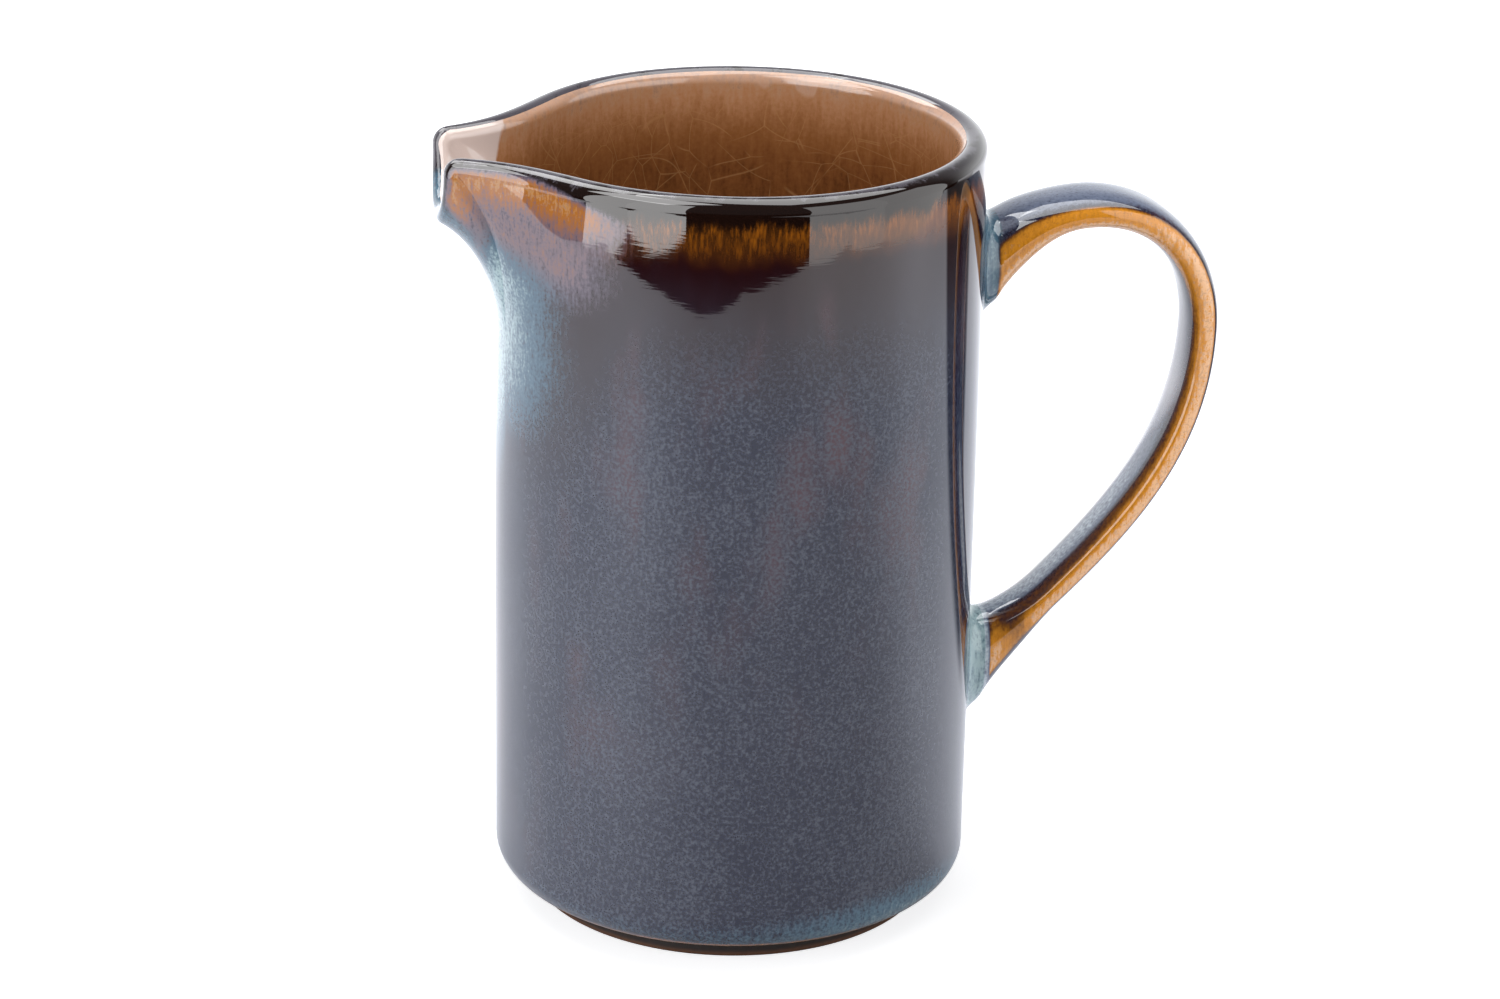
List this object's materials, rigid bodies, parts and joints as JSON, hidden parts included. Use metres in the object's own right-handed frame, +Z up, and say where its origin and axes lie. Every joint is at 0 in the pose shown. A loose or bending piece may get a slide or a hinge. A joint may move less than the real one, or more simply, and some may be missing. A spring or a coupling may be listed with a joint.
{
  "type": "milk jug",
  "caption": "Straight-sided glazed stoneware milk jug with an open pouring lip at the rim, a looped strap handle and a low foot ring.",
  "frame": {"origin": "on the surface that the jug stands on, under the middle of its whole length from the lip's end to the handle's outermost point", "axes": "+Z up, +X towards the handle, with the pouring lip towards -X, +Y across the jug"},
  "size_m": [0.1308, 0.08, 0.1324],
  "materials": {
    "bare_stoneware": "bare fired brown stoneware, visible on the foot ring",
    "handle_stoneware": "fired stoneware under the handle's glaze",
    "pooled_glaze": "glossy teal glaze pooled over the slip fillets",
    "outer_glaze": "glossy slate-blue reactive glaze, breaking to brown and amber at the rim",
    "liner_glaze": "glossy brown glaze with fine crackle",
    "handle_glaze": "glossy honey glaze, blue-white where it is thick",
    "base_glaze": "thin dark glaze inside the foot ring"
  },
  "bodies": {
    "root": {"stoneware_body": "bare_stoneware", "stoneware_handle": "handle_stoneware", "upper_slip_joint": "pooled_glaze", "lower_slip_joint": "pooled_glaze", "outer_glaze": "outer_glaze", "liner_glaze": "liner_glaze", "handle_glaze": "handle_glaze", "base_glaze": "base_glaze"}
  },
  "joints": []
}
